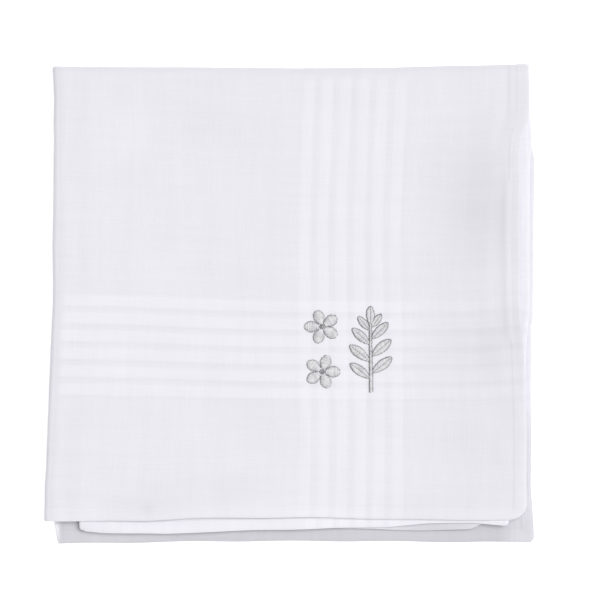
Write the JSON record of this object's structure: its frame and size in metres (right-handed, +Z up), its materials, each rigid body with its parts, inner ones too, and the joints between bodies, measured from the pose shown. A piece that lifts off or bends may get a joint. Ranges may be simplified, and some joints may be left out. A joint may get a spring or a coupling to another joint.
{
  "type": "folded linen handkerchief",
  "caption": "White linen handkerchief folded in quarters, a near-square stack of thin hemmed cloth layers lying flat with the folds at the left and far sides and the open hems at the right and near sides",
  "frame": {"origin": "centre of the bounding box on its underside, where the folded cloth meets the surface that it lies on", "axes": "+X points right to the open side hems, +Y points to the far folded edge, +Z points up through the layers"},
  "size_m": [0.2157, 0.2112, 0.0056],
  "materials": {
    "linen": "white plain-weave linen with a low sheen and satin stripes"
  },
  "bodies": {
    "root": {"handkerchief": "linen"}
  },
  "joints": []
}
